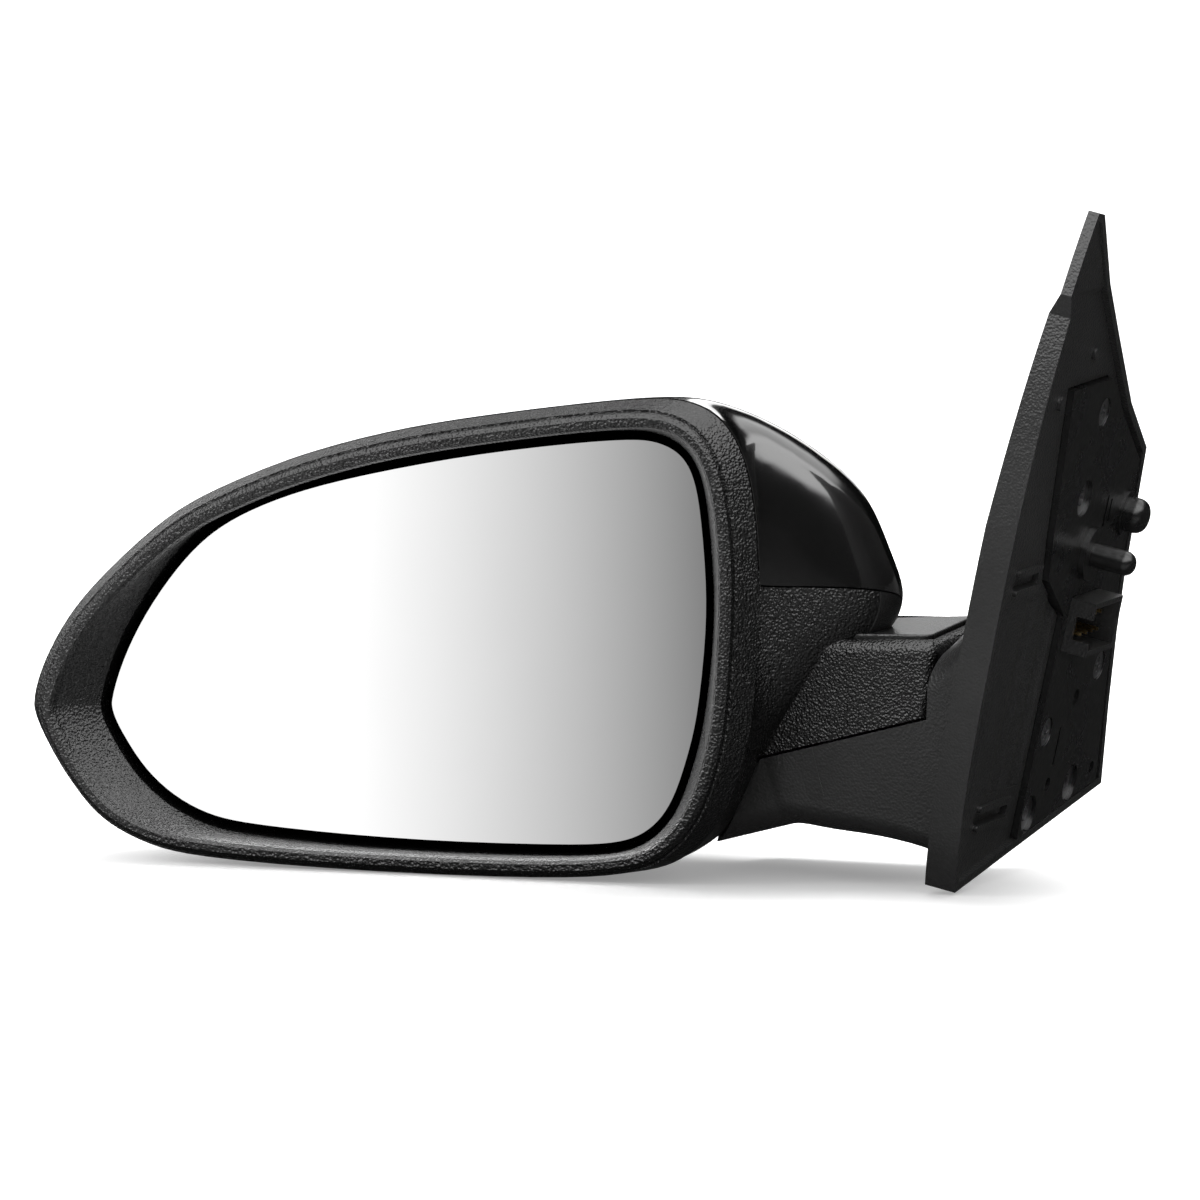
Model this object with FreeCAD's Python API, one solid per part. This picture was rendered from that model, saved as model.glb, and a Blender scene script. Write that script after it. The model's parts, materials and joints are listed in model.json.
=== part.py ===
import FreeCAD, Part
import math
import os

V = FreeCAD.Vector

# The row frame: origin on the door mounting face, +X inboard to the door,
# -Y rearward (the glass faces it), +Z up. All sizes in millimetres.

# ---------------------------------------------------------------- door base
DOOR_LEAN = 12.5            # the door face leans inboard at the top, degrees
COVER_DEPTH = 9.5           # depth of the base cover's tray behind the door face
SAIL_DEPTH = 3.4            # the same at the tip of the sail
SAIL_STEP_DEPTH = 6.8       # the same just below the step in the sail
SAIL_STEP_LOW = 116.0       # height of the step's lower end
SAIL_STEP_HIGH = 123.0      # height of the step's upper end
COVER_TAPER_START = 52.0    # above this height the tray grows thinner
COVER_WALL = 2.5
LIP_RISE = 2.0              # the tray's rim stands this far above its inner floor
GROOVE_DEPTH = 0.9          # vertical flutes in the inner floor, rear of the casting
GROOVES = [(-63.5, 4.5), (-39.5, 4.5), (-21.5, 5.0)]    # (centre, half width)
GROOVE_LOW = -31.0
GROOVE_HIGH = 27.5
RIB_PAIRS = [(34.7, -59.0, -40.5), (-37.5, -49.0, -24.0)]   # (height, rear, front)
RIB_SPACING = 5.8
RIB_THICK = 2.0
RIB_RISE = 1.3
RIB_SLOT_DEPTH = 1.8        # depth of the slot between the ribs of a pair
FLOOR_BOSSES = [(-53.8, 88.5, 2.2), (-31.3, 101.0, 2.0)]    # (forward, up, radius)
FLOOR_BOSS_RISE = 1.2
OPENING_COVER = 2.8         # the inner floor's thickness over the foot's opening
BASE_OUTLINE = [            # (forward, up) on the door face, clockwise from the rear foot
    (-60.0, -58.0), (56.0, -39.0), (47.0, -14.0), (40.0, 9.0), (36.0, 27.0),
    (31.0, 66.0), (8.0, 82.0), (-18.0, 106.0), (-36.0, 123.0), (-55.0, 146.0),
]
SAIL_TIP = (-60.5, 147.0)
REAR_EDGE_HIGH = [(-64.5, 138.0), (-70.0, SAIL_STEP_HIGH)]
REAR_EDGE_LOW = [(-66.5, SAIL_STEP_LOW), (-71.5, 92.0), (-74.0, 68.0), (-74.7, 45.0),
                 (-73.5, 16.0), (-71.0, -18.0), (-66.5, -40.0), (-60.0, -58.0)]

PLATFORM = [                # raised casting on the door side, (forward, up)
    (-13.0, -47.4), (50.0, -37.0), (42.5, -14.0), (35.5, 9.0), (31.5, 27.0),
    (26.5, 63.0), (5.0, 77.5), (-14.0, 92.0), (-48.0, 92.0), (-38.0, 45.0), (-34.0, 33.0),
    (-13.0, 20.0),
]
PLATFORM_BACK_GAP = 0.3     # between the casting and the tray's floor
CASTING_GAP = 0.5           # between the casting and the inner floor beside it
SLIT_DEPTH = 2.2
CASTING_SLITS = [           # (rear, front, low, high) on the door face
    (4.4, 5.8, 45.0, 54.5), (8.0, 9.4, 46.0, 53.0), (5.6, 7.0, -27.5, -16.0),
]
CASTING_DIMPLES = [         # (forward, up, radius)
    (14.5, -7.8, 2.4), (5.0, -33.3, 2.2), (43.0, -32.5, 1.8),
]
DIMPLE_DEPTH = 1.2
FIXING_HOLES = [(-17.0, 56.0), (26.0, -35.3), (-6.5, -40.8)]
THREAD_RADIUS = 2.5         # minor radius of an M6 thread
INSERT_RADIUS = 5.6
INSERT_RECESS = 1.2
INSERT_LENGTH = 5.0
LONG_PEG = (-3.5, 38.0)
LONG_PEG_RADIUS = 3.65
LONG_PEG_LENGTH = 15.0
LONG_PEG_ROUND = 3.2
SHORT_PEG = (24.0, 47.0)
SHORT_PEG_RADIUS = 5.2
SHORT_PEG_LENGTH = 7.0
SHORT_PEG_ROUND = 3.4
PEG_FLANGE_MARGIN = 4.3
PEG_FLANGE_HEIGHT = 2.0
SHORT_FLANGE_MARGIN = 1.6
SHORT_FLANGE_HEIGHT = 0.8
BASE_SCREW_SPOTS = [(-16.0, 82.0), (30.0, 0.0), (-6.0, -16.0)]
BASE_SCREW_RADIUS = 2.0
BASE_SCREW_HEAD_RADIUS = 4.2
BASE_SCREW_HEAD = 2.4
SCREW_CLEARANCE = 0.25

CONNECTOR_REAR = -9.0       # rear face of the connector, forward of the origin
CONNECTOR_LENGTH = 24.0
CONNECTOR_LOW = 9.0
CONNECTOR_HEIGHT = 16.0
CONNECTOR_STANDOUT = 7.5
CONNECTOR_BACK = 6.7        # depth of the connector's back behind the door face
CONNECTOR_WALL = 1.6
CONNECTOR_FLOOR = -4.5      # the socket's floor, from the door face
LATCH_NOTCH = 7.0
PIN_SIDE = 1.0
PIN_LENGTH = 8.0

# ---------------------------------------------------------------- fold pivot
PIVOT_OUT = 63.3            # pivot centre, outboard of the origin
PIVOT_AHEAD = -18.0
PIVOT_UP = -17.4
FOLD_TILT = 15.0            # the fold axis leans outboard at the top, degrees
FOLD_ANGLE = 58.0           # the fold's travel each way, degrees
FOLD_MARGIN = 2.0
SPLIT_GAP = 0.8             # gap between the foot and the neck
NECK_HALF_WIDTH = 25.5
NECK_END = 37.4             # the neck's inboard end at the split, from the fold axis
NECK_LEAN = 0.454           # that end shifts inboard by this share of the height
NECK_CORNER = 3.0
NECK_HEIGHT = 31.6          # at the fold axis
NECK_TOP_SLOPE = 0.24       # the top falls inboard by this share of the run
NECK_TOP_ROLL = 2.2         # the top rises forward by this angle, degrees
NECK_COVER_INSET = 4.4      # the neck cover's edge, inside the neck's side
NECK_COVER_STEP = 1.3       # the neck cover stands this far above the neck, and goes as far in
NECK_ROOM_RADIUS = 48.5     # the round room that the riser leaves for the neck's end, at the split
NECK_ROOM_LEAN = 0.34       # that room widens by this share of the height
NECK_EDGE = 4.0             # rounding of the neck's top edge
NECK_WALL = 2.8
NECK_REACH = 34.0           # length of the neck inside the head
FOOT_HALF_WIDTH = 27.0
FOOT_STATIONS = [           # (inboard of the fold axis, depth, riser's top, half width, shear)
    (-14.0, 21.5, 6.0, 27.0, 0.00), (-4.0, 24.4, 11.0, 27.0, 0.00),
    (6.0, 27.6, 14.0, 27.0, 0.03), (16.0, 31.0, 16.0, 27.0, 0.06),
    (26.0, 35.2, 17.0, 27.2, 0.10), (36.0, 39.8, 17.8, 28.8, 0.14),
    (46.0, 44.6, 20.4, 32.0, 0.16), (56.0, 49.4, 25.5, 36.0, 0.16),
    (66.0, 54.0, 31.0, 40.0, 0.16), (76.0, 58.0, 36.0, 42.0, 0.16),
]
FOOT_CORNER = 7.0
FOOT_WALL = 2.8
FOOT_OPENING_REAR = -36.0   # rear edge of the foot's opening in the tray
SKIRT_TOP_RADIUS = 31.0
SKIRT_LOW_RADIUS = 42.0
SKIRT_HEIGHT = 21.5
SKIRT_GAP = 1.2             # between the foot's skirt and the head's pocket
POST_RADIUS = 7.0
POST_BORE_RADIUS = 4.5
POST_FLANGE_RADIUS = 13.0
POST_FLANGE = 1.8
POST_SEAT = -4.2            # height of the bracket's pad under the split
POST_HOLE_GAP = 1.0         # round the post's flange in the foot's top
POST_TOP = 15.0
DETENT_THICKNESS = 1.6
DETENT_BUMPS = 3
BARREL_RADIUS = 16.5
BARREL_NOSE_RADIUS = 13.4
BARREL_TOP = 14.0
BARREL_FLOOR = 4.4
SPRING_POCKET_RADIUS = 14.3
BUSH_WALL = 1.5
RUNNING_GAP = 0.05
SEAT_GAP = 0.3
SPRING_WIRE = 2.2
SPRING_MEAN_RADIUS = 11.6
SPRING_TURNS = 2.5
WASHER_THICKNESS = 1.4
RETAINER_THICKNESS = 1.0
RETAINER_DEPTH = 0.6        # depth of the groove that holds the retaining ring
BRACKET_PAD_RADIUS = 19.0
BRACKET_PAD = 5.0
ARM_HALF_WIDTH = 13.0

# ---------------------------------------------------------------- mirror head
RIM_BEHIND_PIVOT = 52.0     # the rim's plane, behind the fold pivot
RIM_INBOARD = 14.7          # the rim's inboard edge, outboard of the pivot
RIM_BELOW = 39.2            # the rim's lowest point, below the pivot
RIM_WIDTH = 215.0
RIM_HEIGHT = 137.5
BEAD_WIDTH = 5.0
BEAD_HEIGHT = 2.5
BAND_DEPTH = 9.0
FLARE_LEFT = 4.5
FLARE_RIGHT = 5.5
FLARE_TOP = 3.4
FLARE_BOTTOM = 0.5
SHOULDER = 33.0             # how far the head swells inboard above the neck
SHOULDER_DEPTH = 36.0
HEAD_DEPTH = 89.0
NOSE_FROM_RIGHT = 59.0      # the nose's centre, outboard of the rim's inboard edge
NOSE_UP = 68.5              # the nose's centre, above the rim's lowest point
SKIN = 2.4
SEAM_GAP = 0.5
CAP_EDGE_TIP = 58.5         # the cap's lower edge above the rim's low point, outboard
CAP_EDGE_ROOT = 89.0        # the same, inboard
CAP_EDGE_DROP = 30.0        # how far that edge drops towards the nose
CAP_CORNER = 5.0
HOUSING_DEPTH = 34.0        # the rear housing's depth below the cap

GLASS_LEFT = 18.0           # glass inside the rim, each side
GLASS_RIGHT = 12.8
GLASS_BOTTOM = 7.8
GLASS_TOP = 9.6
GLASS_RECESS = 14.0
GLASS_THICKNESS = 2.2
GLASS_GAP = 3.0
BOWL_WALL = 1.6
BOWL_STRAIGHT = 32.0        # the mouth wall keeps its size to this depth
BOWL_DEPTH = 44.0
BOWL_SHARE_WIDE = 0.84      # the panel's size as a share of the mouth's
BOWL_SHARE_HIGH = 0.86
PANEL = 2.5
HEATER = 0.5
HOLDER = 2.2
HOLDER_INSET = 3.0

# ---------------------------------------------------------------- actuator
GIMBAL_FROM_RIGHT = 99.4    # the glass's pivot, outboard of the rim's inboard edge
GIMBAL_UP = 64.3            # the glass's pivot, above the rim's low point
GIMBAL_DEPTH = 22.0
ACTUATOR_RADIUS = 42.0
ACTUATOR_WALL = 2.2
ACTUATOR_FRONT = 33.0       # depth of the actuator cover's face
ACTUATOR_BACK = 59.0
COVER_PLATE = 2.5
SCREW_OFFSET = 25.0         # jackscrew from the glass's pivot
JACK_RADIUS = 3.0
JACK_NECK_RADIUS = 1.7
BALL_RADIUS = 3.5
SOCKET_GAP = 0.7
SOCKET_WALL = 1.8
SOCKET_MOUTH = 3.3
SOCKET_REACH = 3.3          # from the ball's centre to the socket's rim
JACK_TAIL = 50.0            # depth of the jackscrew's tail
NUT_RADIUS = 12.2
NUT_TEETH = 30
TOOTH_HEIGHT = 0.9
NUT_THICKNESS = 8.0
NUT_DEPTH = 40.0
NUT_SUPPORT_RADIUS = 6.0
NUT_SUPPORT_BORE = 3.6
WORM_RADIUS = 3.5
WORM_LENGTH = 8.6
WORM_GAP = 0.3
MOTOR_RADIUS = 8.0
MOTOR_LENGTH = 20.0
MOTOR_START = 14.0
MOTOR_SHAFT = 1.0
SADDLE_HALF = 5.0
GIMBAL_POST_RADIUS = 6.0
RING_INNER = 7.5
RING_OUTER = 10.5
RING_HEIGHT = 5.0
GIMBAL_PIN = 1.2
HOLDER_BOSS_INNER = 11.5
HOLDER_BOSS_OUTER = 15.5
EAR_RADIUS = 5.5
EAR_ANGLES = [20.0, 160.0, 200.0, 340.0]
EAR_OFFSET = 47.5
EAR_THICKNESS = 3.0
SMALL_SCREW = 1.6
SMALL_HEAD = 3.2
FRAME_PLATE = 4.0
FRAME_RING = 10.0           # width of the frame's ring round the actuator
FRAME_SCREW_SPOTS = [(44.0, 38.0), (46.0, -38.0), (-46.0, -36.0), (-58.0, 0.0)]
FRAME_LUG_RADIUS = 6.0
FRAME_SIDE_GAP = 1.5
ARM_INNER_END = -50.0       # the head frame's arm, along the fold frame's x
ARM_REAR = -5.0
ARM_AHEAD = 10.0
TERMINAL_SPOTS = [(16.0, 24.0), (22.0, 24.0)]
TERMINAL_LENGTH = 6.0

WIRE_RADIUS = 1.8
WIRE_SPLIT = 6.0            # height on the fold axis where the two harnesses meet

# The rim's outline and the glass's outline as shares of their width and height.
RIM_SHAPE = [
    (0.000, 0.310), (0.014, 0.395), (0.052, 0.502), (0.110, 0.605), (0.189, 0.713),
    (0.270, 0.785), (0.370, 0.850), (0.501, 0.910), (0.640, 0.953), (0.770, 0.985),
    (0.860, 1.000), (0.912, 0.993), (0.950, 0.960), (0.976, 0.900), (0.992, 0.810),
    (1.000, 0.680), (0.999, 0.530), (0.990, 0.350), (0.972, 0.225), (0.945, 0.130),
    (0.900, 0.056), (0.840, 0.020), (0.730, 0.004), (0.550, 0.000), (0.380, 0.004),
    (0.240, 0.015), (0.160, 0.036), (0.100, 0.078), (0.060, 0.135), (0.025, 0.215),
]
GLASS_SHAPE = [
    (0.000, 0.307), (0.018, 0.400), (0.055, 0.515), (0.111, 0.637), (0.175, 0.732),
    (0.255, 0.800), (0.360, 0.857), (0.500, 0.910), (0.640, 0.952), (0.780, 0.984),
    (0.870, 0.998), (0.918, 0.994), (0.957, 0.965), (0.981, 0.900), (0.993, 0.790),
    (1.000, 0.640), (0.997, 0.495), (0.985, 0.340), (0.968, 0.230), (0.941, 0.120),
    (0.900, 0.047), (0.840, 0.014), (0.730, 0.003), (0.550, 0.000), (0.375, 0.007),
    (0.250, 0.019), (0.172, 0.037), (0.110, 0.078), (0.060, 0.140), (0.022, 0.218),
]

# ---------------------------------------------------------------- places worked out
X_AXIS, Y_AXIS, Z_AXIS = V(1, 0, 0), V(0, 1, 0), V(0, 0, 1)
DOOR = FreeCAD.Placement(V(0, 0, 0), FreeCAD.Rotation(Y_AXIS, DOOR_LEAN))
PIVOT = V(-PIVOT_OUT, PIVOT_AHEAD, PIVOT_UP)
FOLD = FreeCAD.Placement(PIVOT, FreeCAD.Rotation(Y_AXIS, -FOLD_TILT))

RIM_Y = PIVOT.y - RIM_BEHIND_PIVOT
RIM_RIGHT = PIVOT.x - RIM_INBOARD
RIM_LEFT = RIM_RIGHT - RIM_WIDTH
RIM_LOW = PIVOT.z - RIM_BELOW
RIM_TOP = RIM_LOW + RIM_HEIGHT
NOSE_X = RIM_RIGHT - NOSE_FROM_RIGHT
NOSE_Z = RIM_LOW + NOSE_UP
GIMBAL = V(RIM_RIGHT - GIMBAL_FROM_RIGHT, RIM_Y + GIMBAL_DEPTH, RIM_LOW + GIMBAL_UP)
GLASS_BOX = (RIM_LEFT + GLASS_LEFT, RIM_RIGHT - GLASS_RIGHT, RIM_LOW + GLASS_BOTTOM,
             RIM_TOP - GLASS_TOP)


# ---------------------------------------------------------------- helpers
def cylinder(radius, low, high, centre=(0, 0), direction="z"):
    """A cylinder from low to high along one axis, centred in the other two."""
    a, b = centre
    base, axis = {
        "x": (V(low, a, b), X_AXIS),
        "y": (V(a, low, b), Y_AXIS),
        "z": (V(a, b, low), Z_AXIS),
    }[direction]
    return Part.makeCylinder(radius, high - low, base, axis)


def tube(outer, inner, low, high, centre=(0, 0), direction="z"):
    return cylinder(outer, low, high, centre, direction).cut(
        cylinder(inner, low - 1, high + 1, centre, direction))


def block(x0, x1, y0, y1, z0, z1):
    return Part.makeBox(x1 - x0, y1 - y0, z1 - z0, V(x0, y0, z0))


def cone(low_radius, high_radius, low, high):
    """A cone frustum about the local z axis."""
    profile = [V(0, 0, low), V(low_radius, 0, low), V(high_radius, 0, high), V(0, 0, high)]
    return Part.Face(Part.makePolygon(profile + profile[:1])).revolve(V(0, 0, 0), Z_AXIS, 360)


def polygon_prism(points, low, high, plane):
    """A prism on a polygon: plane 'yz' runs along x, plane 'xy' along z, 'xz' along y."""
    lift = {
        "yz": lambda a, b: V(low, a, b),
        "xy": lambda a, b: V(a, b, low),
        "xz": lambda a, b: V(a, low, b),
    }[plane]
    way = {"yz": X_AXIS, "xy": Z_AXIS, "xz": Y_AXIS}[plane]
    corners = [lift(a, b) for a, b in points]
    return Part.Face(Part.makePolygon(corners + corners[:1])).extrude(way * (high - low))


def closed_curve(points):
    """A smooth closed wire; equal parameters keep every section of a loft alike."""
    curve = Part.BSplineCurve()
    curve.interpolate(Points=points, PeriodicFlag=True, Parameters=list(range(len(points) + 1)))
    return Part.Wire(curve.toShape())


def rounded_section(corner, across, up, half, low, high, radius):
    """A rounded rectangle: corner + across*[-half, half] + up*[low, high]."""
    def at(a, b):
        return corner + across * a + up * b

    def arc(cx, cz, turn):
        ends = []
        for step in (0, 45, 90):
            angle = math.radians(turn + step)
            ends.append(at(cx + radius * math.cos(angle), cz + radius * math.sin(angle)))
        return Part.Arc(*ends).toShape(), ends[0], ends[2]

    corners = [arc(half - radius, low + radius, 270), arc(half - radius, high - radius, 0),
               arc(-half + radius, high - radius, 90), arc(-half + radius, low + radius, 180)]
    edges = []
    for i, (edge, start, end) in enumerate(corners):
        following = corners[(i + 1) % len(corners)][1]
        edges.append(edge)
        edges.append(Part.LineSegment(end, following).toShape())
    return Part.Wire(edges)


def cut_all(shape, tools):
    for tool in tools:
        shape = shape.cut(tool)
    return shape


def largest(shape):
    """The main solid of a shape, without loose slivers."""
    return max(shape.Solids, key=lambda solid: solid.Volume)


def round_path(points, radius):
    """Straight runs joined by tangent arcs."""
    edges = []
    start = points[0]
    for i in range(1, len(points) - 1):
        before, here, after = points[i - 1], points[i], points[i + 1]
        back = (before - here).normalize()
        ahead = (after - here).normalize()
        half_turn = back.getAngle(ahead) / 2
        reach = radius / math.tan(half_turn)
        enter = here + back * reach
        leave = here + ahead * reach
        middle = here + (back + ahead).normalize() * (radius / math.sin(half_turn) - radius)
        edges.append(Part.LineSegment(start, enter).toShape())
        edges.append(Part.Arc(enter, middle, leave).toShape())
        start = leave
    edges.append(Part.LineSegment(start, points[-1]).toShape())
    return Part.Wire(edges)


def bundle(points, bend):
    """A wire bundle along a path."""
    path = round_path(points, bend)
    ring = Part.Wire(Part.Circle(points[0], points[1] - points[0], WIRE_RADIUS).toShape())
    return path.makePipeShell([ring], True, False)


def on_door(shape):
    placed = shape.copy()
    placed.Placement = DOOR.multiply(placed.Placement)
    return placed


def on_fold(shape):
    placed = shape.copy()
    placed.Placement = FOLD.multiply(placed.Placement)
    return placed


NODES = {}


def keep(name, shapes):
    """Store a node; its solids stay separate when a list is given."""
    solids = shapes if isinstance(shapes, list) else [shapes]
    NODES[name] = solids


# ---------------------------------------------------------------- head surfaces
def outline(shape, box):
    left, right, low, top = box
    return [(left + fx * (right - left), low + fz * (top - low)) for fx, fz in shape]


def moved_out(points, distance):
    """Points moved along their outward normals; a negative distance moves them in."""
    moved = []
    count = len(points)
    for i, (x, z) in enumerate(points):
        before, after = points[i - 1], points[(i + 1) % count]
        tx, tz = after[0] - before[0], after[1] - before[1]
        length = math.hypot(tx, tz)
        moved.append((x - tz / length * distance, z + tx / length * distance))
    return moved


def at_depth(points, depth):
    return closed_curve([V(x, RIM_Y + depth, z) for x, z in points])


def smooth(value):
    value = min(max(value, 0.0), 1.0)
    return value * value * (3 - 2 * value)


def band_box(share):
    """The outline's box on the flared band, from the bead (0) to its outer edge (1)."""
    return (RIM_LEFT - FLARE_LEFT * share, RIM_RIGHT + FLARE_RIGHT * share,
            RIM_LOW - FLARE_BOTTOM * share, RIM_TOP + FLARE_TOP * share)


def shoulder_share(height):
    """How much of the shoulder a point gets, by its share of the section's height."""
    rise = smooth((height - 0.25) / 0.28)
    fall = max(height - 0.6, 0.0) / 0.4
    return rise * (1 - fall ** 2.35)


def head_section(depth, inset):
    """The head's outline at a depth, inside its skin by inset."""
    reach = HEAD_DEPTH - inset - BAND_DEPTH
    close = math.sqrt(max(1 - ((depth - BAND_DEPTH) / reach) ** 2, 0.0))
    late_start = BAND_DEPTH + 0.25 * reach
    late_reach = HEAD_DEPTH - inset - late_start
    late = math.sqrt(max(1 - (max(depth - late_start, 0.0) / late_reach) ** 2, 0.0))
    left, right, low, top = band_box(1)
    swell = SHOULDER * smooth((depth - BAND_DEPTH) / SHOULDER_DEPTH)
    left = NOSE_X + (left + inset - NOSE_X) * close
    low = NOSE_Z + (low + inset - NOSE_Z) * close
    top = NOSE_Z + (top - inset - NOSE_Z) * close
    base_right = NOSE_X + (right - inset - NOSE_X) * late
    points = []
    for fx, fz in RIM_SHAPE:
        x = left + fx * (base_right - left)
        x += swell * late * shoulder_share(fz) * smooth(fx)
        points.append((x, low + fz * (top - low)))
    return at_depth(points, depth)


def nose_depths(inset):
    reach = HEAD_DEPTH - inset - BAND_DEPTH
    return [BAND_DEPTH + reach * math.sin(math.radians(angle))
            for angle in (0, 11, 22, 33, 44, 54, 63, 71, 78, 84, 87.5)]


def head_outer():
    """The head's closed outer form: bead, flared band and nose."""
    rim = outline(RIM_SHAPE, band_box(0))
    bead = Part.makeLoft([at_depth(moved_out(rim, -1.6), 0),
                          at_depth(moved_out(rim, -0.4), 0.36 * BEAD_HEIGHT),
                          at_depth(rim, BEAD_HEIGHT)], True, True)
    band_start = moved_out(rim, 0.6)
    band = Part.makeLoft([at_depth(band_start, BEAD_HEIGHT),
                          at_depth(outline(RIM_SHAPE, band_box(1)), BAND_DEPTH)], True, True)
    nose = Part.makeLoft([head_section(d, 0) for d in nose_depths(0)], True, False)
    return bead, band, nose


def head_inner():
    """The space inside the head's skin, behind the rim."""
    start = 0.55 * BAND_DEPTH
    first = moved_out(outline(RIM_SHAPE, band_box(0.4)), -SKIN)
    second = [head_section(d, SKIN) for d in nose_depths(SKIN)]
    collar = Part.makeLoft([at_depth(first, start), second[0]], True, True)
    room = Part.makeLoft(second, True, False)
    return collar.fuse(room)


def mouth_outlines():
    rim = outline(RIM_SHAPE, band_box(0))
    bead_inner = moved_out(rim, -BEAD_WIDTH)
    glass = outline(GLASS_SHAPE, GLASS_BOX)
    seat = moved_out(glass, GLASS_GAP)
    return rim, bead_inner, seat


def shrunk(points):
    """The mouth's outline drawn in towards the glass's pivot, for the panel."""
    return [(GIMBAL.x + (x - GIMBAL.x) * BOWL_SHARE_WIDE,
             GIMBAL.z + (z - GIMBAL.z) * BOWL_SHARE_HIGH) for x, z in points]


def mouth_room():
    """The open space of the mouth, back to the panel."""
    rim, bead_inner, seat = mouth_outlines()
    return Part.makeLoft([at_depth(moved_out(rim, -3.0), -0.5),
                          at_depth(moved_out(rim, -0.88 * BEAD_WIDTH), 0.36 * BEAD_HEIGHT),
                          at_depth(bead_inner, BEAD_HEIGHT),
                          at_depth(seat, GLASS_RECESS - 1.5),
                          at_depth(seat, BOWL_STRAIGHT),
                          at_depth(shrunk(seat), BOWL_DEPTH)], True, True)


def bowl(extra):
    """The mouth wall and the panel behind the glass, before the room is cut."""
    rim, bead_inner, seat = mouth_outlines()
    wall = moved_out(seat, BOWL_WALL + extra)
    return Part.makeLoft([at_depth(moved_out(bead_inner, 1.0), 0.8 * BEAD_HEIGHT),
                          at_depth(wall, GLASS_RECESS - 1.5),
                          at_depth(wall, BOWL_STRAIGHT),
                          at_depth(moved_out(shrunk(seat), BOWL_WALL + extra),
                                   BOWL_DEPTH + PANEL + extra)], True, True)


# ---------------------------------------------------------------- neck and pocket
def neck_plan(inset, height):
    """The neck's outline at a height: straight sides and a flat inboard end."""
    half = NECK_HALF_WIDTH - inset
    end = NECK_END + NECK_LEAN * height - inset
    turn = NECK_CORNER * (1 - math.sqrt(0.5))
    spots = [V(-NECK_REACH, -half, height), V(end - NECK_CORNER, -half, height),
             V(end, -half + NECK_CORNER, height), V(end, half - NECK_CORNER, height),
             V(end - NECK_CORNER, half, height), V(-NECK_REACH, half, height)]
    return Part.Wire([
        Part.LineSegment(spots[0], spots[1]).toShape(),
        Part.Arc(spots[1], V(end - turn, turn - half, height), spots[2]).toShape(),
        Part.LineSegment(spots[2], spots[3]).toShape(),
        Part.Arc(spots[3], V(end - turn, half - turn, height), spots[4]).toShape(),
        Part.LineSegment(spots[4], spots[5]).toShape(),
        Part.LineSegment(spots[5], spots[0]).toShape(),
    ])


def above_neck(rise):
    """Everything above the neck's sloping top, lifted by rise."""
    far = 3 * NECK_HEIGHT
    top = NECK_HEIGHT + rise
    lid = polygon_prism([(-far, top + NECK_TOP_SLOPE * far), (far, top - NECK_TOP_SLOPE * far),
                         (far, 3 * far), (-far, 3 * far)], -far, far, "xz")
    lid.rotate(V(0, -NECK_HALF_WIDTH, NECK_HEIGHT), X_AXIS, NECK_TOP_ROLL)
    return lid


def neck_form(inset, rise=None, edge=NECK_EDGE):
    """The neck about the fold axis, smaller by inset, with its top edge rounded."""
    lift = -inset if rise is None else rise
    body = Part.makeLoft([neck_plan(inset, 0), neck_plan(inset, 2 * NECK_HEIGHT)], True, True)
    body = body.cut(above_neck(lift))
    edges = []
    for line in body.Edges:
        box = line.BoundBox
        run = max(box.ZLength, box.YLength)
        on_top = box.ZMin > NECK_HEIGHT + lift - NECK_TOP_SLOPE * 2 * NECK_HEIGHT
        if on_top and run > 0 and box.XMax > -NECK_REACH + 1:
            edges.append(line)
    return body.makeFillet(edge, edges)


def neck_cover_form(extra):
    """The cover let into the neck's top, larger by extra all round."""
    whole = neck_form(NECK_COVER_INSET - extra, NECK_COVER_STEP + extra, 0.6)
    return whole.common(above_neck(-NECK_COVER_STEP))


def fan_outline(half_width, reach):
    """The plan that the foot sweeps over as the head folds both ways."""
    tangent = math.radians(90.0 + FOLD_ANGLE + FOLD_MARGIN)
    along = math.radians(FOLD_ANGLE + FOLD_MARGIN)
    tx, ty = half_width * math.cos(tangent), half_width * math.sin(tangent)
    fx, fy = tx + reach * math.cos(along), ty + reach * math.sin(along)
    return [(tx, ty), (tx, -ty), (fx, -fy), (2 * reach, -fy), (2 * reach, fy), (fx, fy)]


def pocket_form(extra):
    """The room that the head leaves for the foot, larger by extra."""
    gap = SKIRT_GAP + extra
    upper = cone(SKIRT_LOW_RADIUS + gap, SKIRT_TOP_RADIUS + gap, -SKIRT_HEIGHT, extra)
    lower = cylinder(SKIRT_LOW_RADIUS + gap, -3 * SKIRT_HEIGHT, -SKIRT_HEIGHT)
    fan = polygon_prism(fan_outline(FOOT_HALF_WIDTH + gap, 2 * NECK_END),
                        -3 * SKIRT_HEIGHT, extra, "xy")
    return upper.fuse([lower, fan])


def neck_room(extra):
    """The room that the foot leaves for the neck over the whole fold."""
    low = -SPLIT_GAP - extra
    high = 2 * NECK_HEIGHT
    radius = NECK_ROOM_RADIUS + extra
    return cone(radius, radius + NECK_ROOM_LEAN * (high - low), low, high)


# ---------------------------------------------------------------- head shells
def cap_edge_height(x, depth):
    """The cap's lower edge, which rises inboard and drops towards the nose."""
    slope = (CAP_EDGE_ROOT - CAP_EDGE_TIP) / RIM_WIDTH
    drop = CAP_EDGE_DROP * (depth - BAND_DEPTH) / (HEAD_DEPTH - BAND_DEPTH)
    return RIM_LOW + CAP_EDGE_TIP + slope * (x - RIM_LEFT) - drop


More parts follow.
